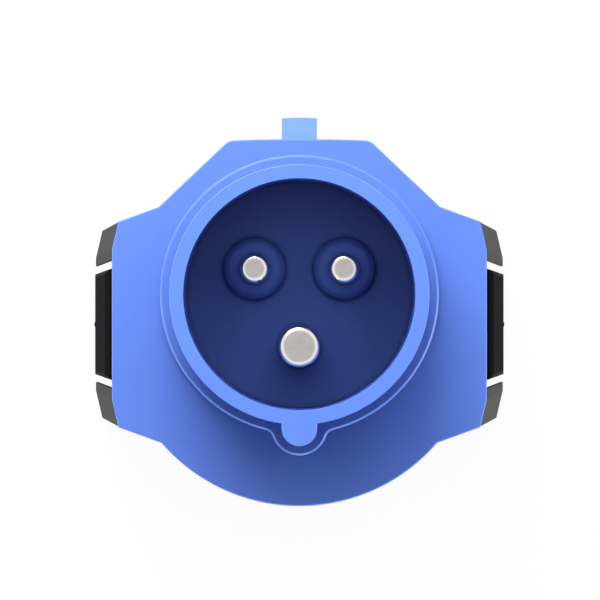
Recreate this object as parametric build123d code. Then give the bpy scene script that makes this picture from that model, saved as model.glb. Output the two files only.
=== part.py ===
from build123d import *
from math import cos, radians, sin, tan
import os

# All sizes are in millimetres. The origin is the middle of the round body, in the plane of the
# rear rim. +Z runs along the plug towards its pins, +Y towards the nose, +X towards the neutral pin.

# Walls and clearances
wall = 2.5
rib_thickness = 1.6
rib_depth = 9.0
slip = 0.05
thread_slip = 0.02
hole_slip = 0.1
carrier_slip = 0.13
overcut = 3.0

# Screws
casing_screw_radius = 1.5
casing_screw_grip = 12.0
casing_screw_bite = 10.0
casing_screw_head_radius = 2.75
casing_screw_head_height = 2.4
casing_boss_wall = 1.1
small_screw_radius = 1.25
small_screw_head_radius = 2.4
small_screw_head_height = 2.0
carrier_screw_circle = 14.0
carrier_screw_bite = 6.5
insert_screw_bite = 6.0
board_screw_radius = 1.0
board_screw_head_radius = 1.8
board_screw_head_height = 1.4
board_screw_bite = 5.0
screw_point_share = 0.5
head_bevel_share = 0.25
recess_share = 0.8
recess_depth_share = 0.55
casing_boss_radius = casing_screw_head_radius + hole_slip + casing_boss_wall

# Rear socket: a ring gap between the casing and the insulator, whose flange closes the gap's bottom
socket_radius = 22.5
socket_depth = 23.0
socket_wall = 2.4
ring_gap = 6.0
insert_recess = 3.0
insert_flange_thickness = 3.0
insert_flange_gap = 0.2
insert_head_height = 5.0
insert_edge_bevel = 0.8
insert_ear_reach = 1.0
insert_boss_wall = 1.5
insert_key_width = 4.0
insert_key_depth = 1.2
sleeve_bore_radius = 2.0
sleeve_wall = 1.2
sleeve_bore_depth = 16.0
sleeve_shoulder_width = 0.8
sleeve_face = 1.0
seal_width = 3.0
seal_height = 2.6
seal_lip = 0.5
insert_radius = socket_radius - ring_gap
insert_flange_radius = socket_radius + socket_wall
insert_screw_circle = insert_flange_radius + insert_ear_reach
insert_boss_radius = small_screw_radius + insert_boss_wall
insert_flange_top_z = socket_depth + insert_flange_thickness
insert_top_z = insert_flange_top_z + insert_head_height
sleeve_face_z = insert_recess + sleeve_face
sleeve_radius = sleeve_bore_radius + sleeve_wall

# Body outline, seen along the plug. The four casing screws stand between socket and outline.
screw_inner_margin = 0.45
screw_outer_margin = 0.15
casing_screw_circle = socket_radius + screw_inner_margin + casing_boss_radius
body_radius = casing_screw_circle + casing_boss_radius + screw_outer_margin
wing_reach = 0.97
body_half_width = body_radius + wing_reach
wing_corner_inset = 1.1
wing_half_height = 17.53
wing_edge_half_height = 12.8
wing_slope = 20.0
wing_root = 20.0
shoulder_foot = 23.98
top_rise = 0.6
top_half_width = 12.04
top_height = body_radius + top_rise
top_crown = 0.25
top_corner_radius = 2.5
flare_width = 2.9
flare_drop = 1.5
flare_depth = 8.0
rim_chamfer = 0.8
top_block_depth = 16.0
top_block_taper = 12.0

# Plug pins, about the plug's own axis
pin_circle_radius = 8.8
live_pin_radius = 2.5
earth_pin_radius = 3.5
live_pin_recess = 8.0
earth_pin_recess = 3.0
pin_tip_round = 1.0
pin_root_step = 0.2
pin_flange_width = 1.5
pin_flange_thickness = 2.5
pin_seal_thickness = 1.0
boss_radius = 5.2
boss_height = 4.0
boss_bevel = 0.9
boss_foot_bevel = 0.4

# Links, studs and nuts between the pins and the sleeves
stud_radius = 2.0
stud_point = 0.4
link_thickness = 1.5
link_width = 6.6
link_clearance = 6.2
nut_across_flats = 7.0
nut_height = 3.2
stud_overrun = 0.8
link_reach = pin_circle_radius + link_clearance
stud_stack = link_thickness + nut_height + stud_overrun

# Coding board
board_margin = 1.5
board_thickness = 1.6
board_gap = 1.2
board_headroom = 2.2
board_post_radius = 2.0
board_post_inset = 2.15
board_post_angle = 319.3
signal_x = 3.0
signal_y = 12.0
signal_radius = 0.7
signal_pad_radius = 1.5
signal_pad_thickness = 1.0
signal_overrun = 1.6
chip_length = 3.2
chip_width = 1.6
chip_height = 0.6
chip_setback = 6.4
board_radius = link_reach - board_margin
sleeve_end_z = insert_top_z + stud_stack
board_z = sleeve_end_z + board_gap
stud_end_z = board_z + board_thickness + board_headroom

# Levels of the flange and the collar
flange_depth = 16.0
flange_edge_bevel = 0.2
web_setback = 1.0
web_thickness = 2.5
web_rear_z = stud_end_z + stud_stack
web_front_z = web_rear_z + web_thickness
joint_z = web_rear_z - web_setback
flange_front_z = joint_z + flange_depth
pin_flange_front_z = web_front_z + pin_flange_thickness
casing_screw_seat_z = joint_z - casing_screw_grip
casing_screw_end_z = joint_z + casing_screw_bite

# Collar, key and step, about the plug's own axis
plug_offset = 5.1
collar_radius = 22.0
collar_wall = 2.37
collar_height = 42.0
collar_edge_bevel = 0.12
collar_draft = 0.3
key_width = 6.0
key_rise = 3.65
step_width = 1.8
step_height = 2.2
step_bevel = 0.35
step_corner_radius = 1.6
collar_mouth_radius = collar_radius - collar_wall
collar_bore_radius = collar_mouth_radius - collar_draft
collar_front_z = flange_front_z + collar_height

# Nose that the lid of the socket outlet hooks over
nose_width = 6.0
nose_rise = 3.7
nose_ramp_depth = 7.0
nose_land = 1.6

# Seal in the joint between flange and casing, and the shadow line round it
body_seal_inset = 1.0
body_seal_width = 1.0
body_seal_height = 1.0
joint_rebate_depth = 0.4
joint_rebate_height = 0.5

# Channels of the latches
channel_depth = 4.97
channel_half_height = 11.06
channel_slope = 21.0
channel_end_wall = 2.2
channel_floor_wall = 2.0
channel_floor = body_half_width - channel_depth

# Latches
latch_proud = 0.13
latch_half_height = 8.55
latch_slope = 19.1
latch_front_gap = 0.8
latch_rear_gap = 1.2
latch_bevel = 0.5
latch_wall = 2.2
latch_side_wall = 1.5
latch_pivot_height = 2.9
latch_pivot_z = 24.0
latch_hub_radius = 2.0
latch_press_angle = 7.0
latch_back_gap = 1.5
latch_stop_gap = 0.3
latch_face = body_half_width + flare_width + latch_proud
latch_front_z = joint_z - channel_end_wall - latch_front_gap
latch_pivot_x = channel_floor + latch_pivot_height

# Catch of each latch, thumb grip, pin and spring
tooth_half_width = 5.0
tooth_reach = 1.5
tooth_catch_z = 7.5
tooth_land = 1.2
tooth_ramp_drop = 2.7
window_gap = 0.7
grip_groove_width = 1.0
grip_groove_depth = 0.4
grip_groove_half_length = 5.5
grip_groove_pitch = 2.4
grip_setback = 11.0
pip_radius = 0.5
pip_height = 0.2
latch_pin_radius = 1.25
pin_hole_depth = 2.5
pin_end_gap = 0.4
pin_end_chamfer = 0.25
spring_setback = 7.0
spring_mean_radius = 1.95
spring_wire_radius = 0.25
spring_turns = 5
spring_post_radius = 1.35
spring_post_height = 1.2
grip_centre_z = latch_front_z - grip_setback
spring_z = latch_front_z - spring_setback


def cylinder(radius, low, high, x=0.0, y=0.0):
    """An upright cylinder between two levels."""
    return Pos(x, y, low) * extrude(Circle(radius), high - low)


def box(low, high):
    """A box between two opposite corners."""
    size = [high[i] - low[i] for i in range(3)]
    middle = [(high[i] + low[i]) / 2 for i in range(3)]
    return Pos(*middle) * Box(*size)


def beam(radius, start, end, x, z):
    """A cylinder that lies along Y."""
    return Pos(x, start, z) * Rot(-90, 0, 0) * extrude(Circle(radius), end - start)


def on_circle(radius, angle):
    """A place on a circle about the origin."""
    return radius * cos(radians(angle)), radius * sin(radians(angle))


def pin_places():
    """Line, neutral and earth, seen from the pins' own side, about the middle of their circle."""
    return {name: on_circle(pin_circle_radius, angle)
            for name, angle in (("line", 150), ("neutral", 30), ("earth", 270))}


def pin_radius(name):
    return earth_pin_radius if name == "earth" else live_pin_radius


def screw_places():
    """The four screws between casing and flange."""
    return [on_circle(casing_screw_circle, angle) for angle in (45, 135, 225, 315)]


def three_places(radius):
    return [on_circle(radius, angle) for angle in (90, 210, 330)]


def insert_screw_places():
    """The three screws in the ears of the insulator, clear of the casing screws."""
    return [on_circle(insert_screw_circle, angle) for angle in (90, 250, 290)]


def post_places():
    """The two posts under the coding board."""
    x, y = on_circle(board_radius - board_post_inset, board_post_angle)
    return [(x, y), (-x, y)]


# Outlines
def wing_face(grow):
    """Both side wings. A grow of 0 is the outline at the joint, and 1 is the flared one behind it."""
    corner_x = body_half_width - wing_corner_inset + grow * flare_width
    corner_y = wing_half_height - grow * flare_drop
    edge_x = body_half_width + grow * flare_width
    edge_y = wing_edge_half_height - grow * flare_drop
    root_y = corner_y + (corner_x - wing_root) * tan(radians(wing_slope))
    quarter = [(edge_x, edge_y), (corner_x, corner_y), (wing_root, root_y)]
    half = quarter + [(-x, y) for x, y in reversed(quarter)]
    return make_face(Polyline(*(half + [(-x, -y) for x, y in half]), close=True))


def sharp_top_face():
    """The flat crowned top, down to the middle of the body, before its corners are rounded."""
    rise = (body_half_width - wing_corner_inset - shoulder_foot) * tan(radians(wing_slope))
    foot = (shoulder_foot, wing_half_height + rise)
    corner = (top_half_width, top_height - top_crown)
    sides = Polyline((-corner[0], corner[1]), (-foot[0], foot[1]), (0, 0), foot, corner)
    crown = ThreePointArc(corner, (0, top_height), (-corner[0], corner[1]))
    return make_face([sides, crown])


def top_face():
    """The flat top that carries the nose."""
    return fillet(sharp_top_face().vertices().group_by(Axis.Y)[-1], top_corner_radius)


def body_face():
    """The outline of the flange and of the joint."""
    return Circle(body_radius) + wing_face(0) + top_face()


def inset_face(depth):
    """The body's outline moved inwards."""
    wings = offset(wing_face(0), -depth, kind=Kind.INTERSECTION)
    top = offset(sharp_top_face(), -depth, kind=Kind.INTERSECTION)
    return Circle(body_radius - depth) + wings + top


def plug_face(grow):
    """Collar and key rib in one outline, about the plug's axis, widened by grow."""
    key_centre = collar_radius + key_rise - key_width / 2
    key_half = key_width / 2 + grow
    bar = Pos(0, -key_centre / 2) * Rectangle(2 * key_half, key_centre)
    return Circle(collar_radius + grow) + bar + Pos(0, -key_centre) * Circle(key_half)


def base_step():
    """The low step round the foot of the collar and its key."""
    step = extrude(plug_face(step_width), step_height)
    uprights = step.edges().filter_by(Axis.Z).filter_by(lambda e: e.center().Y < -collar_radius / 2)
    step = fillet(uprights.group_by(Axis.Y)[-1], step_corner_radius)
    return chamfer(step.edges().group_by(Axis.Z)[-1], step_bevel)


# Front shell
def nose():
    """A wedge on the flat top: a ramp from the front, a short land, and a straight face behind."""
    root = top_height - wall
    crest = top_height + nose_rise
    front = flange_front_z - flange_edge_bevel
    top = front - nose_ramp_depth
    rear = top - nose_land
    ramp = [(top_height, front), (crest, top)]
    side = Polyline((root, front), *ramp, (crest, rear), (root, rear), close=True)
    wedge = extrude(Plane.YZ * make_face(side), nose_width / 2, both=True)
    return wedge & cylinder(crest, rear, front)


def shell_ribs():
    """Ribs that tie the collar's tube to the flange."""
    ribs = Part()
    for angle in (0, 180, 225, 270, 315):
        bar = Pos(body_radius / 2, 0, 0) * Box(body_radius, rib_thickness, rib_depth)
        ribs += Pos(0, plug_offset, flange_front_z - wall - rib_depth / 2) * Rot(0, 0, angle) * bar
    return ribs


def front_shell():
    flange = Pos(0, 0, joint_z) * extrude(body_face(), flange_depth)
    flange = chamfer(flange.edges().group_by(Axis.Z)[-1], flange_edge_bevel)
    hollow = Pos(0, 0, joint_z) * extrude(inset_face(wall), flange_depth - wall)
    kept = cylinder(collar_radius, web_rear_z, flange_front_z, y=plug_offset) + shell_ribs()
    for x, y in screw_places():
        kept += cylinder(casing_screw_radius + wall, joint_z, flange_front_z, x, y)
    shell = flange - (hollow - kept)
    collar = extrude(plug_face(0), collar_height)
    collar = chamfer(collar.edges().group_by(Axis.Z)[-1], collar_edge_bevel)
    shell += Pos(0, plug_offset, flange_front_z) * (base_step() + collar)
    shell += nose()
    shell -= cylinder(collar_bore_radius, web_front_z, flange_front_z + slip, y=plug_offset)
    past = collar_height + overcut
    wide = collar_bore_radius + collar_draft * past / collar_height
    mouth = Cone(collar_bore_radius, wide, past)
    shell -= Pos(0, plug_offset, flange_front_z + past / 2) * mouth
    return shell - shell_holes()


def shell_holes():
    """Holes for the casing screws, the pins' studs and the carrier's screws."""
    holes = Part()
    low = web_rear_z - overcut
    high = web_front_z + slip
    radius = casing_screw_radius + thread_slip
    for x, y in screw_places():
        holes += cylinder(radius, joint_z - overcut, casing_screw_end_z + slip, x, y)
    for x, y in pin_places().values():
        holes += cylinder(stud_radius + hole_slip, low, high, x, y + plug_offset)
    for x, y in three_places(carrier_screw_circle):
        holes += cylinder(small_screw_radius + hole_slip, low, high, x, y + plug_offset)
    return holes


# Contact carrier, pins and their seals
def contact_carrier():
    """The floor of the collar. The pins' flanges sit in its back, held by the web of the shell."""
    carrier = cylinder(collar_bore_radius - carrier_slip, web_front_z, flange_front_z)
    for name, (x, y) in pin_places().items():
        if name != "earth":
            boss = extrude(Circle(boss_radius), boss_height)
            boss = chamfer(boss.edges().group_by(Axis.Z)[-1], boss_bevel)
            carrier += Pos(x, y, flange_front_z) * boss
    rings = carrier.edges().filter_by(GeomType.CIRCLE)
    rings = rings.filter_by(lambda e: abs(e.radius - boss_radius) < slip)
    carrier = chamfer(rings.group_by(Axis.Z)[0], boss_foot_bevel)
    seal_top = pin_flange_front_z + pin_seal_thickness + slip
    for name, (x, y) in pin_places().items():
        hole = seal_hole_radius(name)
        flange = pin_radius(name) + pin_flange_width + hole_slip
        carrier -= cylinder(hole, web_front_z, pin_root_top(name) + slip, x, y)
        carrier -= cylinder(hole + pin_seal_thickness + slip, web_front_z, seal_top, x, y)
        carrier -= cylinder(flange, web_front_z, pin_flange_front_z, x, y)
    screw_top = web_front_z + carrier_screw_bite
    for x, y in three_places(carrier_screw_circle):
        carrier -= cylinder(small_screw_radius + thread_slip, web_front_z, screw_top, x, y)
    return Pos(0, plug_offset, 0) * carrier


def seal_hole_radius(name):
    """The hole round a pin's root, in the carrier and in the pin's seal."""
    return pin_radius(name) + pin_root_step + slip


def pin_root_top(name):
    """The root of a pin ends flush with its boss, or with the carrier where there is no boss."""
    return flange_front_z + (0 if name == "earth" else boss_height)


def plug_pin(name):
    """A turned pin: a stud behind, a flange that traps it, a root, and the contact with its round tip."""
    x, y = pin_places()[name]
    radius = pin_radius(name)
    tip = collar_front_z - (earth_pin_recess if name == "earth" else live_pin_recess)
    contact = cylinder(radius, pin_flange_front_z, tip)
    contact = fillet(contact.edges().group_by(Axis.Z)[-1], pin_tip_round)
    root = cylinder(radius + pin_root_step, pin_flange_front_z, pin_root_top(name))
    flange = cylinder(radius + pin_flange_width, web_front_z, pin_flange_front_z)
    stud = cylinder(stud_radius, stud_end_z, web_front_z)
    stud = chamfer(stud.edges().group_by(Axis.Z)[0], stud_point)
    return Pos(x, y + plug_offset, 0) * (contact + root + flange + stud)


def pin_seals():
    """Square-section rings, pressed between the pins' flanges and the carrier."""
    seals = Part()
    for name, (x, y) in pin_places().items():
        hole = seal_hole_radius(name)
        ring = extrude(Circle(hole + pin_seal_thickness) - Circle(hole), pin_seal_thickness)
        seals += Pos(x, y + plug_offset, pin_flange_front_z + thread_slip) * ring
    return seals


# Screws
def screw(radius, length, head_radius, head_height):
    """A pan-head screw that points up from the origin, its head below, with a square recess."""
    shank = cylinder(radius, 0, length)
    shank = chamfer(shank.edges().group_by(Axis.Z)[-1], screw_point_share * radius)
    head = cylinder(head_radius, -head_height, 0)
    head = chamfer(head.edges().group_by(Axis.Z)[0], head_bevel_share * head_height)
    side = recess_share * head_radius
    recess = Pos(0, 0, -head_height) * Box(side, side, 2 * recess_depth_share * head_height)
    return shank + head - recess


def small_screw(length):
    return screw(small_screw_radius, length, small_screw_head_radius, small_screw_head_height)


def carrier_screws():
    group = Part()
    for x, y in three_places(carrier_screw_circle):
        one = small_screw(web_thickness + carrier_screw_bite - slip)
        group += Pos(x, y + plug_offset, web_rear_z) * one
    return group


def casing_screws():
    length = casing_screw_end_z - casing_screw_seat_z
    one = screw(casing_screw_radius, length, casing_screw_head_radius, casing_screw_head_height)
    group = Part()
    for x, y in screw_places():
        group += Pos(x, y, casing_screw_seat_z) * one
    return group


def insert_screws():
    group = Part()
    one = small_screw(insert_flange_thickness + insert_screw_bite - slip)
    for x, y in insert_screw_places():
        group += Pos(x, y, insert_flange_top_z) * Rot(180, 0, 0) * one
    return group


def board_screws():
    length = board_thickness + board_screw_bite - slip
    one = screw(board_screw_radius, length, board_screw_head_radius, board_screw_head_height)
    group = Part()
    for x, y in post_places():
        group += Pos(x, y, board_z + board_thickness) * Rot(180, 0, 0) * one
    return group


# Rear casing
def channel_half(x):
    """Half the height of a latch channel. Its side walls lean in towards the outside."""
    return channel_half_height - (x - body_half_width) * tan(radians(channel_slope))


def channel_face(inner, outer):
    """The section of a latch channel between two distances from the middle."""
    upper = [(inner, channel_half(inner)), (outer, channel_half(outer))]
    return make_face(Polyline(*(upper + [(x, -y) for x, y in reversed(upper)]), close=True))


def latch_channel():
    """The channel on the +X side, with the window for the latch's tooth and the holes for its pin."""
    past = body_half_width + flare_width + overcut
    end = joint_z - channel_end_wall
    cut = Pos(0, 0, -overcut) * extrude(channel_face(channel_floor, past), end + overcut)
    cut += Pos(0, 0, -overcut) * extrude(channel_face(body_half_width, past), joint_z + 2 * overcut)
    cut -= Pos(channel_floor, 0, spring_z) * Rot(0, 90, 0) * spring_post(spring_post_height)
    low, high = tooth_levels()
    half = tooth_half_width + window_gap
    window_low = (socket_radius - overcut, -half, low - window_gap - tooth_swing())
    cut += box(window_low, (channel_floor + slip, half, high + window_gap))
    blind = channel_half(latch_pivot_x) + pin_hole_depth
    outside = -wing_half_height - overcut
    return cut + beam(latch_pin_radius + thread_slip, outside, blind, latch_pivot_x, latch_pivot_z)


def spring_post(height):
    """The round post that keeps an end of the spring in place."""
    return extrude(Circle(spring_post_radius), height)


def tooth_levels():
    return tooth_catch_z - tooth_land - tooth_ramp_drop, tooth_catch_z


def tooth_swing():
    """How far the tooth dips towards the rim when the latch is pressed."""
    return (latch_pivot_x - socket_radius + tooth_reach) * sin(radians(latch_press_angle))


def casing_form():
    """The outside of the casing: round body, flat top that fades into it, and flared wings."""
    form = cylinder(body_radius, 0, joint_z)
    top = Pos(0, 0, joint_z - top_block_depth) * extrude(top_face(), top_block_depth)
    wide = body_radius + top_block_depth * tan(radians(top_block_taper))
    form += top & Pos(0, 0, joint_z - top_block_depth / 2) * Cone(body_radius, wide, top_block_depth)
    flare_z = joint_z - flare_depth
    form += extrude(wing_face(1), flare_z)
    form += loft([Pos(0, 0, flare_z) * wing_face(1), Pos(0, 0, joint_z) * wing_face(0)], ruled=True)
    around = Circle(2 * body_radius) - inset_face(joint_rebate_depth)
    form -= Pos(0, 0, joint_z - joint_rebate_height) * extrude(around, joint_rebate_height + overcut)
    return chamfer(form.edges().group_by(Axis.Z)[0], rim_chamfer)


def casing_hollow():
    """The inside: a room behind the flange, and deep pockets above and below the socket's wall."""
    room = Circle(body_radius - wall) & Rectangle(2 * (channel_floor - channel_floor_wall), 2 * body_radius)
    hollow = Pos(0, 0, socket_depth) * extrude(room, joint_z - socket_depth + overcut)
    pocket = room - Circle(socket_radius + socket_wall)
    pocket -= Rectangle(2 * body_radius, 2 * channel_half_height)
    hollow += Pos(0, 0, wall) * extrude(pocket, socket_depth - wall + slip)
    for x, y in screw_places():
        hollow -= cylinder(casing_boss_radius, 0, joint_z, x, y)
    for x, y in insert_screw_places():
        hollow -= cylinder(insert_boss_radius, 0, socket_depth, x, y)
    return hollow


def rear_casing():
    casing = casing_form() - casing_hollow()
    casing -= cylinder(socket_radius, -overcut, socket_depth + overcut)
    pilot_low = socket_depth - insert_screw_bite
    for x, y in insert_screw_places():
        casing -= cylinder(small_screw_radius + thread_slip, pilot_low, socket_depth + overcut, x, y)
    shank = casing_screw_radius + hole_slip
    for x, y in screw_places():
        casing -= cylinder(casing_screw_head_radius + hole_slip, -overcut, casing_screw_seat_z, x, y)
        casing -= cylinder(shank, casing_screw_seat_z - overcut, joint_z + overcut, x, y)
    casing -= latch_channel()
    casing -= mirror(latch_channel(), about=Plane.YZ)
    return casing - Pos(0, 0, joint_z - body_seal_height) * extrude(seal_face(0), body_seal_height + overcut)


def seal_face(slack):
    """The ring of the joint's seal, a little inside the outline."""
    inner = body_seal_inset + body_seal_width
    return inset_face(body_seal_inset + slack) - inset_face(inner - slack)


def body_seal():
    return Pos(0, 0, joint_z - body_seal_height) * extrude(seal_face(slip), body_seal_height)


# Rear socket
def socket_insert():
    """The insulator of the rear socket, put in from inside and screwed down at its three ears."""
    core = cylinder(insert_radius, insert_recess, insert_top_z)
    core = chamfer(core.edges().group_by(Axis.Z)[0], insert_edge_bevel)
    insert = core + Pos(0, 0, socket_depth) * extrude(insert_flange_face(), insert_flange_thickness)
    past = board_z + overcut
    for x, y in post_places():
        insert += cylinder(board_post_radius, insert_top_z, board_z, x, y)
        insert -= cylinder(board_screw_radius + thread_slip, board_z - board_screw_bite, past, x, y)
    for x in (-signal_x, signal_x):
        insert -= cylinder(signal_radius + slip, 0, past, x, signal_y)
        insert -= cylinder(signal_pad_radius + slip, 0, insert_recess + signal_pad_thickness, x, signal_y)
    for x, y in pin_places().values():
        insert -= cylinder(sleeve_radius + slip, 0, past, x, y)
        insert -= cylinder(sleeve_radius + sleeve_shoulder_width + slip, socket_depth, past, x, y)
    for x, y in insert_screw_places():
        insert -= cylinder(small_screw_radius + hole_slip, 0, past, x, y)
    half = insert_key_width / 2
    groove_low = (-half, insert_radius - insert_key_depth, 0)
    return insert - box(groove_low, (half, insert_radius + overcut, socket_depth - seal_height))


def insert_flange_face():
    """A disc over the end of the socket's wall, with three ears, notched round the casing's bosses."""
    face = Circle(insert_flange_radius)
    for x, y in insert_screw_places():
        face += Pos(x, y) * Circle(small_screw_head_radius)
    for x, y in screw_places():
        face -= Pos(x, y) * Circle(casing_boss_radius + insert_flange_gap)
    return face


def contact_sleeve(name):
    """A turned sleeve: the bore that the charger's pin enters, a shoulder, and a stud behind."""
    x, y = pin_places()[name]
    sleeve = cylinder(sleeve_radius, sleeve_face_z, socket_depth)
    sleeve += cylinder(sleeve_radius + sleeve_shoulder_width, socket_depth, insert_top_z)
    sleeve += cylinder(stud_radius, insert_top_z, sleeve_end_z)
    sleeve -= cylinder(sleeve_bore_radius, sleeve_face_z, sleeve_face_z + sleeve_bore_depth)
    return Pos(x, y, 0) * sleeve


def rear_seal():
    """A lip seal round the insert, at the bottom of the socket."""
    inner = insert_radius + slip
    outer = inner + seal_width
    low = socket_depth - seal_height
    lip = low + seal_lip
    top = [(inner, socket_depth), (outer - seal_lip, socket_depth)]
    outer_lip = [(outer, lip), (outer - seal_lip, low)]
    groove = [(inner + seal_width / 2, socket_depth - seal_height / 2)]
    inner_lip = [(inner + 2 * seal_lip, lip), (inner, lip)]
    profile = Polyline(*(top + outer_lip + groove + inner_lip), close=True)
    return revolve(Plane.XZ * make_face(profile), Axis.Z)


def signal_contacts():
    pad = cylinder(signal_pad_radius, insert_recess, insert_recess + signal_pad_thickness)
    lead = cylinder(signal_radius, insert_recess, board_z + board_thickness + signal_overrun)
    return Pos(signal_x, signal_y, 0) * (pad + lead) + Pos(-signal_x, signal_y, 0) * (pad + lead)


def coding_board():
    """A round board on two posts, with the coding parts on its front."""
    top = board_z + board_thickness
    board = cylinder(board_radius, board_z, top)
    for x, y in post_places():
        board -= cylinder(board_screw_radius + hole_slip, board_z - overcut, top + overcut, x, y)
    for x in (-signal_x, signal_x):
        board -= cylinder(signal_radius + slip, board_z - overcut, top + overcut, x, signal_y)
        low = (x - chip_length / 2, signal_y - chip_setback, top)
        board += box(low, (x + chip_length / 2, low[1] + chip_width, top + chip_height))
    return board


# Links between the pins and the sleeves
def link(pin_place, sleeve_place):
    """A bent copper strip whose upright leg stands on the +X side of both studs."""
    low = insert_top_z
    high = web_rear_z
    half = link_width / 2
    outer = link_reach + link_thickness
    strip = Part()
    for (x, y), level in ((sleeve_place, low), (pin_place, high - link_thickness)):
        eye = Pos(x, y) * Circle(half) + Pos((x + outer) / 2, y) * Rectangle(outer - x, link_width)
        eye -= Pos(x, y) * Circle(stud_radius + hole_slip)
        strip += Pos(0, 0, level) * extrude(eye, link_thickness)
    near, far = sleeve_place[1], pin_place[1]
    leg = Polyline((near - half, low), (near + half, low), (near + half, low + link_thickness),
                   (far + half, high - link_thickness), (far + half, high), (far - half, high),
                   (far - half, high - link_thickness), (near - half, low + link_thickness), close=True)
    strip += Pos(link_reach, 0, 0) * extrude(Plane.YZ * make_face(leg), link_thickness)
    return strip


def earth_link():
    """The same strip, turned so that its leg stands below the earth pin."""
    x, y = pin_places()["earth"]
    return Rot(0, 0, -90) * link((-y - plug_offset, x), (-y, x))


def neutral_link():
    x, y = pin_places()["neutral"]
    return link((x, y + plug_offset), (x, y))


def line_link():
    return mirror(neutral_link(), about=Plane.YZ)


def link_nuts():
    shape = RegularPolygon(nut_across_flats / 2, 6, major_radius=False) - Circle(stud_radius + thread_slip)
    nut = extrude(shape, nut_height)
    group = Part()
    for x, y in pin_places().values():
        group += Pos(x, y + plug_offset, web_rear_z - link_thickness - nut_height) * nut
        group += Pos(x, y, insert_top_z + link_thickness) * nut
    return group


# Latches
def latch_half(x):
    """Half the height of the latch, which narrows towards its outer face."""
    return latch_half_height + (latch_face - x) * tan(radians(latch_slope))


def latch_section(inner, outer, trim):
    """The latch's section between two distances from the middle, less trim at each side."""
    upper = [(inner, latch_half(inner) - trim), (outer, latch_half(outer) - trim)]
    return make_face(Polyline(*(upper + [(x, -y) for x, y in reversed(upper)]), close=True))


def latch_form():
    """The outside of the latch, flared at its front like the casing, with bevelled edges."""
    inner = channel_floor + latch_back_gap
    length = latch_front_z - latch_rear_gap
    block = Pos(0, 0, latch_rear_gap) * extrude(latch_section(inner, latch_face, 0), length)
    flare_z = joint_z - flare_depth
    front_x = latch_face - (latch_front_z - flare_z) * flare_width / flare_depth
    dip = (latch_front_z - latch_pivot_z) * sin(radians(latch_press_angle))
    front_inner = channel_floor + latch_back_gap + dip - slip
    side = Polyline((latch_face, latch_rear_gap), (latch_face, flare_z), (front_x, latch_front_z),
                    (front_inner, latch_front_z), (front_inner, latch_front_z - wall),
                    (inner, latch_pivot_z + wall), (inner, latch_rear_gap), close=True)
    form = block & extrude(Plane.XZ * make_face(side), latch_half(inner), both=True)
    outer = form.edges().filter_by(lambda e: e.center().X > front_x - slip)
    return chamfer(outer.filter_by(lambda e: e.center().Z > flare_z + slip), latch_bevel)


def latch_body():
    """The right latch: a hollow lever with its hub, its tooth and the post for its spring."""
    inside = latch_face - latch_wall
    lever = latch_form()
    low, high = tooth_levels()
    section = latch_section(channel_floor, inside, latch_side_wall)
    room = Pos(0, 0, high + wall) * extrude(section, latch_front_z - high - wall - latch_wall)
    flare_z = joint_z - flare_depth
    slant = Polyline((inside, high), (inside, flare_z), (inside - flare_width, flare_z + flare_depth),
                     (channel_floor, flare_z + flare_depth), (channel_floor, high), close=True)
    lever -= room & extrude(Plane.XZ * make_face(slant), 2 * latch_half_height, both=True)
    hub_half = channel_half(latch_pivot_x + latch_hub_radius) - hole_slip - slip
    lever += beam(latch_hub_radius, -hub_half, hub_half, latch_pivot_x, latch_pivot_z)
    lever += box((latch_pivot_x, -hub_half + wall, latch_pivot_z - rib_thickness / 2),
                 (inside + slip, hub_half - wall, latch_pivot_z + rib_thickness / 2))
    lever -= beam(latch_pin_radius + slip, -hub_half, hub_half, latch_pivot_x, latch_pivot_z)
    lever += latch_tooth()
    post = Rot(0, 90, 0) * spring_post(spring_post_height + slip)
    lever += Pos(inside - spring_post_height, 0, spring_z) * post
    for step in (-2, -1, 1, 2):
        z = grip_centre_z + step * grip_groove_pitch
        lever -= box((latch_face - grip_groove_depth, -grip_groove_half_length, z - grip_groove_width / 2),
                     (latch_face + wall, grip_groove_half_length, z + grip_groove_width / 2))
    return lever + latch_pip()


def latch_pip():
    """The small raised dot that the thumb feels."""
    ball = (pip_radius ** 2 + pip_height ** 2) / (2 * pip_height)
    dot = Pos(latch_face + pip_height - ball, 0, grip_centre_z) * Rot(0, 0, 180) * Sphere(ball)
    return dot & box((latch_face - slip, -ball, grip_centre_z - ball),
                     (latch_face + ball, ball, grip_centre_z + ball))


def latch_tooth():
    """The catch: it passes through the window and stands inside the wall of the socket."""
    low, high = tooth_levels()
    tip = socket_radius - tooth_reach
    back = channel_floor + latch_stop_gap
    root = channel_floor + latch_back_gap + slip
    side = Polyline((tip, high), (tip, high - tooth_land), (socket_radius + wall, low), (back, low),
                    (root, low), (root, high + wall), (back, high + wall), (back, high), close=True)
    return extrude(Plane.XZ * make_face(side), tooth_half_width, both=True)


def latch_pin():
    low = -wing_half_height + flare_drop + wall
    high = channel_half(latch_pivot_x) + pin_hole_depth - pin_end_gap
    pin = beam(latch_pin_radius, low, high, latch_pivot_x, latch_pivot_z)
    ends = pin.edges().filter_by(GeomType.CIRCLE)
    return chamfer(ends, pin_end_chamfer)


def latch_spring():
    """A coil spring between the channel's floor and the inside of the latch."""
    gap = latch_face - latch_wall - channel_floor
    height = gap - 2 * spring_wire_radius - 2 * slip
    path = Helix(height / spring_turns, height, spring_mean_radius)
    wire = sweep(Plane(origin=path @ 0, z_dir=path % 0) * Circle(spring_wire_radius), path=path)
    return Pos(channel_floor + spring_wire_radius + slip, 0, spring_z) * Rot(0, 90, 0) * wire


def both_sides(piece):
    """A piece for the right side and its mirror image for the left."""
    return {"right": piece, "left": mirror(piece, about=Plane.YZ)}


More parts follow.
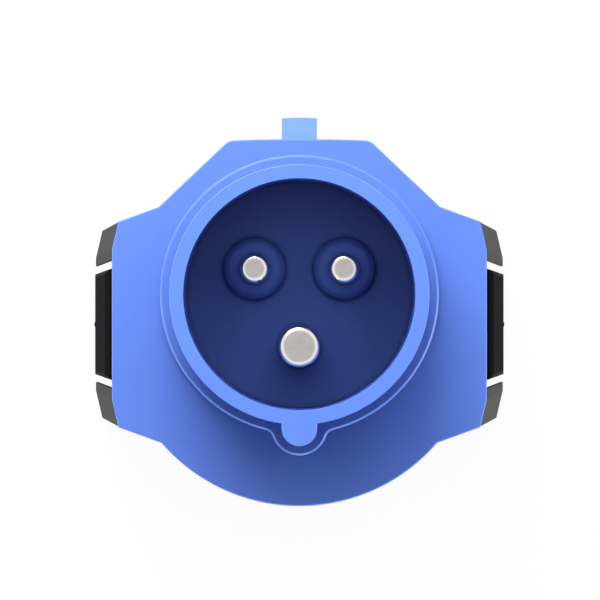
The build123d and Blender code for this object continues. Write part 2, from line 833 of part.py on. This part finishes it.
nodes = {
    "front_shell": front_shell(),
    "contact_carrier": contact_carrier(),
    "pin_seals": pin_seals(),
    "carrier_screws": carrier_screws(),
    "rear_casing": rear_casing(),
    "body_seal": body_seal(),
    "casing_screws": casing_screws(),
    "socket_insert": socket_insert(),
    "insert_screws": insert_screws(),
    "rear_seal": rear_seal(),
    "signal_contacts": signal_contacts(),
    "coding_board": coding_board(),
    "board_screws": board_screws(),
    "line_link": line_link(),
    "neutral_link": neutral_link(),
    "earth_link": earth_link(),
    "link_nuts": link_nuts(),
}
for pole in pin_places():
    nodes[pole + "_pin"] = plug_pin(pole)
    nodes[pole + "_sleeve"] = contact_sleeve(pole)
for side, piece in both_sides(latch_body()).items():
    nodes[side + "_latch"] = piece
for side, piece in both_sides(latch_pin()).items():
    nodes[side + "_latch_pin"] = piece
for side, piece in both_sides(latch_spring()).items():
    nodes[side + "_latch_spring"] = piece

os.makedirs("parts", exist_ok=True)
for node, piece in nodes.items():
    export_step(piece, f"parts/{node}.step")
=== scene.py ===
from math import cos, pi, radians, sin

import bmesh
import bpy
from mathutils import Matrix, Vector


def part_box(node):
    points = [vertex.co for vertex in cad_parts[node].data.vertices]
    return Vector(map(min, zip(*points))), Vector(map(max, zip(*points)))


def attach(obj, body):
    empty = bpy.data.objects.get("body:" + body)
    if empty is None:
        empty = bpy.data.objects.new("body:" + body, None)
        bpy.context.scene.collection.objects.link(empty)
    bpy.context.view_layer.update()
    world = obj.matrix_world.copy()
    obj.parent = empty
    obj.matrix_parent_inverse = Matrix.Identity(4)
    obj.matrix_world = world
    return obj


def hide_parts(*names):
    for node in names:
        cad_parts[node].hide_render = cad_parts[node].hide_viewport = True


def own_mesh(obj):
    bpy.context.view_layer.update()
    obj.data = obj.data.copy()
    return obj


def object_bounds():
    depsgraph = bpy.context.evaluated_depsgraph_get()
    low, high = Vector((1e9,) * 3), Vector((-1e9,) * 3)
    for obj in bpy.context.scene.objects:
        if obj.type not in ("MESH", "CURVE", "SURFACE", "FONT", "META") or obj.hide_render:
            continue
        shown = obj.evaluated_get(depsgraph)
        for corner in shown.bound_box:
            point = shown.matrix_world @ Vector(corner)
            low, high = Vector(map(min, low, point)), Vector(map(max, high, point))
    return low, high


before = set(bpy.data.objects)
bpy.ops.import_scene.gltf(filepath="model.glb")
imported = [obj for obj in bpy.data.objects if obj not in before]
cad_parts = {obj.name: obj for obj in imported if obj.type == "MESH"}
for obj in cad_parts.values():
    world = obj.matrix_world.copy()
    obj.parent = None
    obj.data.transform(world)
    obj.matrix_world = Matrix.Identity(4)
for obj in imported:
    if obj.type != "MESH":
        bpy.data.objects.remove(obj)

# The stage
# A white floor under the rear rim, which takes a pale shadow from the adapter. It can be seen
# through from below, and light comes up through it, so that the rear socket shows too.
mm = 0.001
cad_low, cad_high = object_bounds()
floor_half = 1.5
floor_glow = 0.95
floor_white = 0.1


def add(tree, kind, inputs=None, **settings):
    """A shader node with its settings, its inputs set to values or linked to other sockets."""
    node = tree.nodes.new("ShaderNode" + kind)
    for name, value in settings.items():
        setattr(node, name, value)
    for name, value in (inputs or {}).items():
        if isinstance(value, bpy.types.NodeSocket):
            tree.links.new(value, node.inputs[name])
        else:
            node.inputs[name].default_value = value
    return node


def seen_directly(tree, path):
    """1 for what the camera sees, also in a mirror or through glass, and 0 for bounced light."""
    seen = {0: path.outputs["Is Camera Ray"], 1: path.outputs["Is Glossy Ray"]}
    seen = add(tree, "Math", seen, operation="MAXIMUM").outputs[0]
    seen = {0: seen, 1: path.outputs["Is Transmission Ray"]}
    return add(tree, "Math", seen, operation="MAXIMUM").outputs[0]


def new_object(bm, name):
    """An object at the origin, with its place in its mesh."""
    mesh = bpy.data.meshes.new(name)
    bm.to_mesh(mesh)
    bm.free()
    made = bpy.data.objects.new(name, mesh)
    bpy.context.scene.collection.objects.link(made)
    return made


bm = bmesh.new()
bmesh.ops.create_grid(bm, x_segments=1, y_segments=1, size=floor_half)
bmesh.ops.translate(bm, verts=bm.verts, vec=(0, 0, cad_low.z))
floor = new_object(bm, "floor")
floor_paint = bpy.data.materials.new("floor_paint")
floor_paint.use_nodes = True
tree = floor_paint.node_tree
tree.nodes.clear()
path = add(tree, "LightPath")
glow = {0: seen_directly(tree, path), 1: floor_glow}
glow = add(tree, "Math", glow, operation="MULTIPLY")
paint = add(tree, "BsdfDiffuse", {"Color": (floor_white, floor_white, floor_white, 1)})
light = add(tree, "Emission", {"Strength": glow.outputs[0]})
both = add(tree, "AddShader", {0: paint.outputs[0], 1: light.outputs[0]})
below = {0: add(tree, "NewGeometry").outputs["Backfacing"], 1: path.outputs["Is Shadow Ray"]}
below = add(tree, "Math", below, operation="MAXIMUM")
clear = add(tree, "BsdfTransparent")
mixed = add(tree, "MixShader", {0: below.outputs[0], 1: both.outputs[0], 2: clear.outputs[0]})
add(tree, "OutputMaterial", {"Surface": mixed.outputs[0]})
floor.data.materials.append(floor_paint)

# The studio
# A dim white room. A soft lamp nearly overhead lights the faces that look up, a lower one on the
# side of the nose throws the collar's shadow, and weak ones light the casing's sides and rear.
# The room's ceiling is darker than its walls, which shows in the metal of the pins.
room_light = 0.12
ceiling_level = 0.56
ceiling_edge = 0.92
ceiling_middle = 0.98
level_tilt = 90.0
key_turn = 107.0
key_tilt = 64.0
key_distance = 0.35
key_size = 0.26
key_level = 1.22
top_turn = 90.0
top_tilt = 14.0
top_distance = 0.35
top_size = 0.2
top_level = 0.49
side_levels = {195: 0.4, 270: 0.5, 345: 0.7}
side_distance = 1.0
side_width = 0.7
side_rise = 0.09
side_height = 45 * mm
under_turn = 300.0
under_tilt = 150.0
under_distance = 0.8
under_size = 0.6
under_level = 0.6

world = bpy.data.worlds.new("studio")
bpy.context.scene.world = world
world.use_nodes = True
tree = world.node_tree
tree.nodes.clear()
path = add(tree, "LightPath")
direction = add(tree, "TexCoord").outputs["Generated"]
height = add(tree, "SeparateXYZ", {0: direction}).outputs["Z"]
ceiling = {"Value": height, "From Min": ceiling_edge, "From Max": ceiling_middle,
           "To Min": 1.0, "To Max": ceiling_level}
mirrored = add(tree, "MapRange", ceiling)
shown = {0: mirrored.outputs[0], 1: path.outputs["Is Camera Ray"]}
shown = add(tree, "Math", shown, operation="MAXIMUM")
strength = {"Value": seen_directly(tree, path), "To Min": room_light, "To Max": shown.outputs[0]}
strength = add(tree, "MapRange", strength)
white = add(tree, "Background", {"Color": (1, 1, 1, 1), "Strength": strength.outputs[0]})
add(tree, "OutputWorld", {"Surface": white.outputs[0]})


def lamp(name, place, target, size, rise, level):
    """A lamp of a width and a height. At level 1, a white surface that faces it renders white."""
    data = bpy.data.lights.new(name, "AREA")
    data.shape = "RECTANGLE"
    data.size = size
    data.size_y = rise
    away = Vector(target) - Vector(place)
    data.energy = level * (pi * away.length) ** 2
    made = bpy.data.objects.new(name, data)
    made.location = place
    made.rotation_mode = "QUATERNION"
    made.rotation_quaternion = away.to_track_quat("-Z", "Y")
    bpy.context.scene.collection.objects.link(made)
    return made


def around(turn, tilt, distance):
    """A place seen from the origin: turn from +X towards +Y, tilt away from +Z."""
    turn, tilt = radians(turn), radians(tilt)
    return Vector((cos(turn) * sin(tilt), sin(turn) * sin(tilt), cos(tilt))) * distance


middle = (cad_low + cad_high) / 2
key_place = middle + around(key_turn, key_tilt, key_distance)
lamp("key_lamp", key_place, middle, key_size, key_size, key_level)
top_place = middle + around(top_turn, top_tilt, top_distance)
lamp("top_lamp", top_place, middle, top_size, top_size, top_level).visible_glossy = False
under_place = middle + around(under_turn, under_tilt, under_distance)
lamp("under_lamp", under_place, middle, under_size, under_size, under_level)
target = Vector((0, 0, side_height))
for turn, level in side_levels.items():
    place = target + around(turn, level_tilt, side_distance)
    lamp(f"side_lamp_{turn}", place, target, side_width, side_rise, level)

# The camera
# It looks straight down the plug's pins, as the photograph does. It stands far away with a long
# lens, so that the walls of the collar hardly show.
sensor_width = 36.0
lens = 1600.0
view_width = 102.2 * mm
view_centre = (0.11 * mm, 4.16 * mm)
view_level = 66 * mm
clip_near = 0.1
clip_far = 2.0

camera_data = bpy.data.cameras.new("camera")
camera_data.sensor_width = sensor_width
camera_data.lens = lens
distance = view_width * lens / sensor_width
camera_data.clip_start = distance * clip_near
camera_data.clip_end = distance * clip_far
camera = bpy.data.objects.new("camera", camera_data)
camera.location = (*view_centre, view_level + distance)
bpy.context.scene.collection.objects.link(camera)
bpy.context.scene.camera = camera
bpy.context.scene.view_settings.view_transform = "Standard"

# The front shell
# One blue moulding with the collar, its key rib, the flange and the nose on top, held to the rear
# casing by four screws. Its tool was finely spark-eroded, so it is satin, and its edges are soft.
blue = (0.147, 0.293, 1.0, 1)
drift_size = 14 * mm
drift_share = 0.05
drift_detail = 3.0
grain_detail = 2.0
dull_range = 0.06
edge_samples = 6
# The edges carry a painted highlight, mixed in at this share, in a paler colour.
edge_shine = 0.08
edge_paler = 1.6
# How well a softened edge's direction agrees with its face's own, on a flat and round an edge.
flat_match = 0.995
edge_match = 0.8


def new_material(name):
    """A material, with its tree and its shader."""
    material = bpy.data.materials.new(name)
    material.use_nodes = True
    return material, material.node_tree, material.node_tree.nodes["Principled BSDF"]


def plug_in(tree, socket, output):
    """Links an output to a socket."""
    tree.links.new(output, socket)


def shade_of(colour, share):
    """The colour made lighter (over 1) or darker (under 1)."""
    return tuple(min(1.0, channel * share) for channel in colour[:3]) + (1,)


def moulded(name, colour, roughness, grain_size, grain_depth, edge_radius, gloss=0.5, bounce=1.0,
            highlight_share=edge_shine, highlight_colour=None):
    """Moulded plastic with its tool's grain, a slow drift of colour, and a painted highlight on its
    edges.

    Bounce is the share of the light it throws back that reaches the pieces round it.
    """
    material, tree, shader = new_material(name)
    place = add(tree, "TexCoord").outputs["Object"]
    edge = add(tree, "Bevel", {"Radius": edge_radius}, samples=edge_samples)
    face = add(tree, "NewGeometry")
    same = {0: edge.outputs[0], 1: face.outputs["Normal"]}
    same = add(tree, "VectorMath", same, operation="DOT_PRODUCT").outputs["Value"]
    edge_mask = {"Value": same, "From Min": flat_match, "From Max": edge_match}
    edge_mask = add(tree, "MapRange", edge_mask)
    cloud = {"Vector": place, "Scale": 1 / drift_size, "Detail": drift_detail}
    cloud = add(tree, "TexNoise", cloud)
    lighter = shade_of(colour, 1 + drift_share)
    darker = shade_of(colour, 1 - drift_share)
    tint = add(tree, "MixRGB", {"Fac": cloud.outputs["Fac"], "Color1": darker, "Color2": lighter})
    # Painted highlight: the edges are mixed towards a paler colour and made less rough.
    edge_highlight = add(tree, "Math", {0: edge_mask.outputs[0], 1: highlight_share}, operation="MULTIPLY")
    pale = highlight_colour or shade_of(colour, edge_paler)
    tint = {"Fac": edge_highlight.outputs[0], "Color1": tint.outputs[0], "Color2": pale}
    tint = add(tree, "MixRGB", tint)
    passed_on = add(tree, "LightPath").outputs["Is Diffuse Ray"]
    passed_on = add(tree, "MapRange", {"Value": passed_on, "To Min": 1.0, "To Max": bounce})
    tint = {0: tint.outputs[0], 1: passed_on.outputs[0]}
    tint = add(tree, "VectorMath", tint, operation="MULTIPLY")
    plug_in(tree, shader.inputs["Base Color"], tint.outputs[0])

    grain = {"Vector": place, "Scale": 1 / grain_size, "Detail": grain_detail}
    grain = add(tree, "TexNoise", grain)
    dull = {"Value": grain.outputs["Fac"],
            "To Min": roughness - dull_range, "To Max": roughness + dull_range}
    dull = add(tree, "MapRange", dull)
    smooth = add(tree, "Math", {0: dull.outputs[0], 1: edge_highlight.outputs[0]}, operation="SUBTRACT")
    plug_in(tree, shader.inputs["Roughness"], smooth.outputs[0])
    relief = {"Height": grain.outputs["Fac"], "Distance": grain_depth, "Normal": edge.outputs[0]}
    plug_in(tree, shader.inputs["Normal"], add(tree, "Bump", relief).outputs[0])
    shader.inputs["Specular IOR Level"].default_value = gloss
    return material


def dress(names, material):
    """Gives the material to every slot of these pieces of the frame."""
    for name in names:
        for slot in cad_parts[name].material_slots:
            slot.material = material


blue_plastic = moulded("blue_plastic", blue, roughness=0.42, grain_size=0.12 * mm,
                       grain_depth=0.0015 * mm, edge_radius=0.1 * mm, gloss=0.3, bounce=0.25,
                       highlight_share=0.03)
dress(["front_shell"], blue_plastic)
# Painted light: how far it fades in, and how much paler it makes the plastic.
painted_light_depth = 2 * mm
painted_light_share = 1.09


def tint_by(material, share):
    """Multiplies a material's colour by a share, which another node gives."""
    tree = material.node_tree
    socket = tree.nodes["Principled BSDF"].inputs["Base Color"]
    shaded = {0: socket.links[0].from_socket, 1: share}
    shaded = add(tree, "VectorMath", shaded, operation="MULTIPLY")
    plug_in(tree, socket, shaded.outputs[0])


def paint_light_past(material, axis, level, share):
    """Paints light on a material past a level on one axis, which makes it a little paler there."""
    tree = material.node_tree
    place = add(tree, "TexCoord").outputs["Object"]
    place = add(tree, "SeparateXYZ", {0: place}).outputs[axis]
    light_ramp = {"Value": place, "From Min": level - painted_light_depth, "From Max": level,
           "To Min": 1.0, "To Max": share}
    tint_by(material, add(tree, "MapRange", light_ramp).outputs[0])


# Painted light makes the collar's mouth and the nose a little paler.
paint_light_past(blue_plastic, "Z", cad_high.z - painted_light_depth, painted_light_share)
paint_light_past(blue_plastic, "Y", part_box("front_shell")[1].y - painted_light_depth, painted_light_share)

# The contact carrier
# The floor of the collar, in the shell's blue plastic, painted darker as the shade deep inside the
# collar. It has a boss round each live pin, and three screws hold it from behind.
# Painted shade: the carrier's blue is darker than the shell's, to stand for the shade in the
# collar.
carrier_shaded_blue = (0.056, 0.105, 0.405, 1)
carrier_plastic = moulded("carrier_plastic", carrier_shaded_blue, roughness=0.5, grain_size=0.12 * mm,
                          grain_depth=0.0015 * mm, edge_radius=0.8 * mm, gloss=0.2)
corner_reach = 0.55 * mm
corner_samples = 12
corner_open = 0.5
corner_shade = 0.58
boss_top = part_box("contact_carrier")[1].z
boss_painted_light = 1.3


def paint_corner_shade(material, reach, share):
    """Paints shade into a material in its piece's own inner corners."""
    tree = material.node_tree
    reached = add(tree, "AmbientOcclusion", {"Distance": reach}, samples=corner_samples,
                  only_local=True)
    shade = {"Value": reached.outputs["AO"], "From Min": corner_open, "To Min": share}
    tint_by(material, add(tree, "MapRange", shade).outputs[0])


# Painted shade darkens the carrier round the feet of its bosses and round the pins.
paint_corner_shade(carrier_plastic, corner_reach, corner_shade)
# Painted light makes the tops of the bosses a little paler.
paint_light_past(carrier_plastic, "Z", boss_top, boss_painted_light)
dress(["contact_carrier"], carrier_plastic)

# The plug pins
# Turned from brass and nickel plated. A flange traps each pin between the carrier and the shell,
# and a nut on its stud pulls it tight. The lathe left fine rings on the tips and sides.
nickel = (0.84, 0.795, 0.765, 1)
# A wave texture of scale 1 repeats after this many metres.
wave_length = pi / 10
lathe_pitch = 0.16 * mm
lathe_depth = 0.0006 * mm
lathe_wobble = 0.4
lathe_detail = 1.0
lathe_edge = 0.05 * mm
haze_size = 1.5 * mm
haze_detail = 4.0
haze_range = 0.07
haze_dark = 0.92
haze_light = 1.06


def turned(name, colour, roughness, centre):
    """Turned metal with the lathe's rings about an axis along Z."""
    material, tree, shader = new_material(name)
    place = add(tree, "TexCoord").outputs["Object"]
    local = add(tree, "Mapping", {"Vector": place, "Location": (-centre[0], -centre[1], 0)})
    local = local.outputs[0]
    scale = wave_length / lathe_pitch
    wave = {"Vector": local, "Scale": scale, "Distortion": lathe_wobble, "Detail": lathe_detail}
    rings = add(tree, "TexWave", wave, wave_type="RINGS", rings_direction="Z")
    bands = add(tree, "TexWave", wave, wave_type="BANDS", bands_direction="Z")
    marks = add(tree, "Math", {0: rings.outputs["Fac"], 1: bands.outputs["Fac"]}, operation="ADD")
    haze = {"Vector": local, "Scale": 1 / haze_size, "Detail": haze_detail}
    haze = add(tree, "TexNoise", haze).outputs["Fac"]
    dull = {"Value": haze, "To Min": roughness - haze_range, "To Max": roughness + haze_range}
    plug_in(tree, shader.inputs["Roughness"], add(tree, "MapRange", dull).outputs[0])
    tint = {"Fac": haze, "Color1": shade_of(colour, haze_dark),
            "Color2": shade_of(colour, haze_light)}
    plug_in(tree, shader.inputs["Base Color"], add(tree, "MixRGB", tint).outputs[0])
    edge = add(tree, "Bevel", {"Radius": lathe_edge}, samples=edge_samples)
    relief = {"Height": marks.outputs[0], "Distance": lathe_depth, "Normal": edge.outputs[0]}
    plug_in(tree, shader.inputs["Normal"], add(tree, "Bump", relief).outputs[0])
    shader.inputs["Metallic"].default_value = 1.0
    return material


def axis_of(name):
    """The middle of a piece of the frame, which its axis goes through."""
    low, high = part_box(name)
    return (low + high) / 2


lip_height = 0.06 * mm
lip_width = 0.45 * mm
lip_sides = 64


def ring_on(centre, level, inner, outer, height, name):
    """A flat moulded ring that stands on a level."""
    bm = bmesh.new()
    for radius in (inner, outer):
        bmesh.ops.create_circle(bm, segments=lip_sides, radius=radius)
    bmesh.ops.bridge_loops(bm, edges=bm.edges[:])
    made = bmesh.ops.extrude_face_region(bm, geom=bm.faces[:])["geom"]
    top = [item for item in made if isinstance(item, bmesh.types.BMVert)]
    bmesh.ops.translate(bm, verts=top, vec=(0, 0, height))
    bmesh.ops.translate(bm, verts=bm.verts, vec=(centre.x, centre.y, level))
    bmesh.ops.recalc_face_normals(bm, faces=bm.faces)
    return new_object(bm, name)


# A thin lip of the carrier closes round its edge and round the root of each pin.
pin_radii = {"line": 2.5 * mm, "neutral": 2.5 * mm, "earth": 3.5 * mm}
boss_height = 4.0 * mm
carrier_face = boss_top - boss_height
edge_slip = 0.11 * mm
carrier_low, carrier_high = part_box("contact_carrier")
carrier_radius = (carrier_high.x - carrier_low.x) / 2
lips = [ring_on(axis_of("contact_carrier"), carrier_face, carrier_radius - lip_width,
                carrier_radius + edge_slip, lip_height, "carrier_edge_lip")]
for pole, radius in pin_radii.items():
    name = f"{pole}_pin"
    dress([name], turned(f"{pole}_pin_nickel", nickel, roughness=0.22, centre=axis_of(name)))
    level = carrier_face if pole == "earth" else boss_top
    lips.append(ring_on(axis_of(name), level, radius, radius + lip_width, lip_height,
                        f"{pole}_pin_lip"))
for lip in lips:
    lip.data.materials.append(carrier_plastic)
    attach(lip, "housing")

# The rear casing
# A grey glass-filled moulding with a coarser grain, screwed to the flange. It holds the rear socket
# and has a channel for a latch on each side.
grey = (0.044, 0.044, 0.0455, 1)
grey_plastic = moulded("grey_plastic", grey, roughness=0.5, grain_size=0.2 * mm,
                       grain_depth=0.006 * mm, edge_radius=0.3 * mm, gloss=0.15)
dress(["rear_casing"], grey_plastic)

# The latches and the socket insert
# Black rockers with a satin grain. A thumb presses the front end in, and the tooth at the other
# end lets go of the charger. The insulator of the rear socket is moulded in the same plastic.
black = (0.0105, 0.0105, 0.011, 1)
# The light grey of the painted highlight on the black plastic's edges.
black_highlight = (0.16, 0.16, 0.163, 1)
black_plastic = moulded("black_plastic", black, roughness=0.4, grain_size=0.14 * mm,
                        grain_depth=0.003 * mm, edge_radius=0.25 * mm, gloss=0.006, highlight_share=0.7,
                        highlight_colour=black_highlight)
dress(["left_latch", "right_latch", "socket_insert"], black_plastic)

# The small metal parts
# Steel pins, screws and nuts hold the adapter together. Its current runs from the plug pins
# through copper links to brass sleeves, and gold plated contacts carry the coding.
frame_axis = (0, 0, 0)
steel_colour = (0.55, 0.55, 0.56, 1)
brass_colour = (0.76, 0.58, 0.28, 1)
copper_colour = (0.78, 0.38, 0.24, 1)
gold_colour = (0.85, 0.62, 0.25, 1)
steel = turned("steel", steel_colour, roughness=0.32, centre=frame_axis)
dress(["left_latch_pin", "right_latch_pin", "carrier_screws", "casing_screws", "insert_screws",
       "board_screws", "link_nuts"], steel)
for pole in ("line", "neutral", "earth"):
    name = f"{pole}_sleeve"
    brass = turned(f"{pole}_sleeve_brass", brass_colour, roughness=0.3, centre=axis_of(name))
    dress([name], brass)
    copper = turned(f"{pole}_link_copper", copper_colour, roughness=0.35, centre=frame_axis)
    dress([f"{pole}_link"], copper)
gold = turned("contact_gold", gold_colour, roughness=0.25, centre=frame_axis)
dress(["signal_contacts"], gold)

# The seals
# Moulded rubber rings, squeezed between the pins' flanges and the carrier, in the joint between
# the shells, and at the bottom of the rear socket. They keep the rain out.
rubber_colour = (0.02, 0.02, 0.02, 1)
rubber = moulded("rubber", rubber_colour, roughness=0.7, grain_size=0.1 * mm,
                 grain_depth=0.003 * mm, edge_radius=0.2 * mm)
dress(["pin_seals", "body_seal", "rear_seal"], rubber)

# The coding board
# A small green glass-fibre board behind the signal contacts, held by two screws. It tells the
# charger which plug is fitted.
board_colour = (0.02, 0.18, 0.07, 1)
board = moulded("board", board_colour, roughness=0.3, grain_size=0.3 * mm,
                grain_depth=0.001 * mm, edge_radius=0.1 * mm)
dress(["coding_board"], board)

# The latch springs
# Round steel wire, wound with a closed turn at each end. One stands between the floor of each
# channel and the inside of its latch.
wire_radius = 0.25 * mm
wire_sides = 12
turn_steps = 28
closed_turns = 1
open_turns = 3


def spring(side):
    """The coil of one side, right or left, on its channel's floor."""
    node = f"{side}_latch_spring"
    low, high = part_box(node)
    mean_radius = (high.y - low.y) / 2 - wire_radius
    travel = high.x - low.x - 2 * wire_radius
    closed_pitch = 2 * wire_radius
    open_pitch = (travel - 2 * closed_turns * closed_pitch) / open_turns
    start = Vector((low.x + wire_radius, 0, (low.z + high.z) / 2))
    bm = bmesh.new()
    ring = bmesh.ops.create_circle(bm, segments=wire_sides, radius=wire_radius)["verts"]
    bmesh.ops.translate(bm, verts=ring, vec=start + Vector((0, mean_radius, 0)))
    end = list({edge for vert in ring for edge in vert.link_edges})
    centre = start.copy()
    closed = (closed_turns, closed_pitch)
    for turns, pitch in (closed, (open_turns, open_pitch), closed):
        steps = turns * turn_steps
        step = Vector((pitch / turn_steps, 0, 0))
        result = bmesh.ops.spin(bm, geom=end, cent=centre, axis=(1, 0, 0), dvec=step,
                                angle=2 * pi * turns, steps=steps, use_duplicate=False)
        end = [item for item in result["geom_last"] if isinstance(item, bmesh.types.BMEdge)]
        centre = centre + step * steps
    rims = [edge for edge in bm.edges if edge.is_boundary]
    bmesh.ops.holes_fill(bm, edges=rims, sides=wire_sides)
    bmesh.ops.recalc_face_normals(bm, faces=bm.faces)
    for face in bm.faces:
        face.smooth = len(face.verts) == 4
    made = new_object(bm, f"{side}_spring_coil")
    made.data.materials.append(steel)
    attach(made, "housing")
    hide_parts(node)
    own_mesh(made)


spring("right")
spring("left")
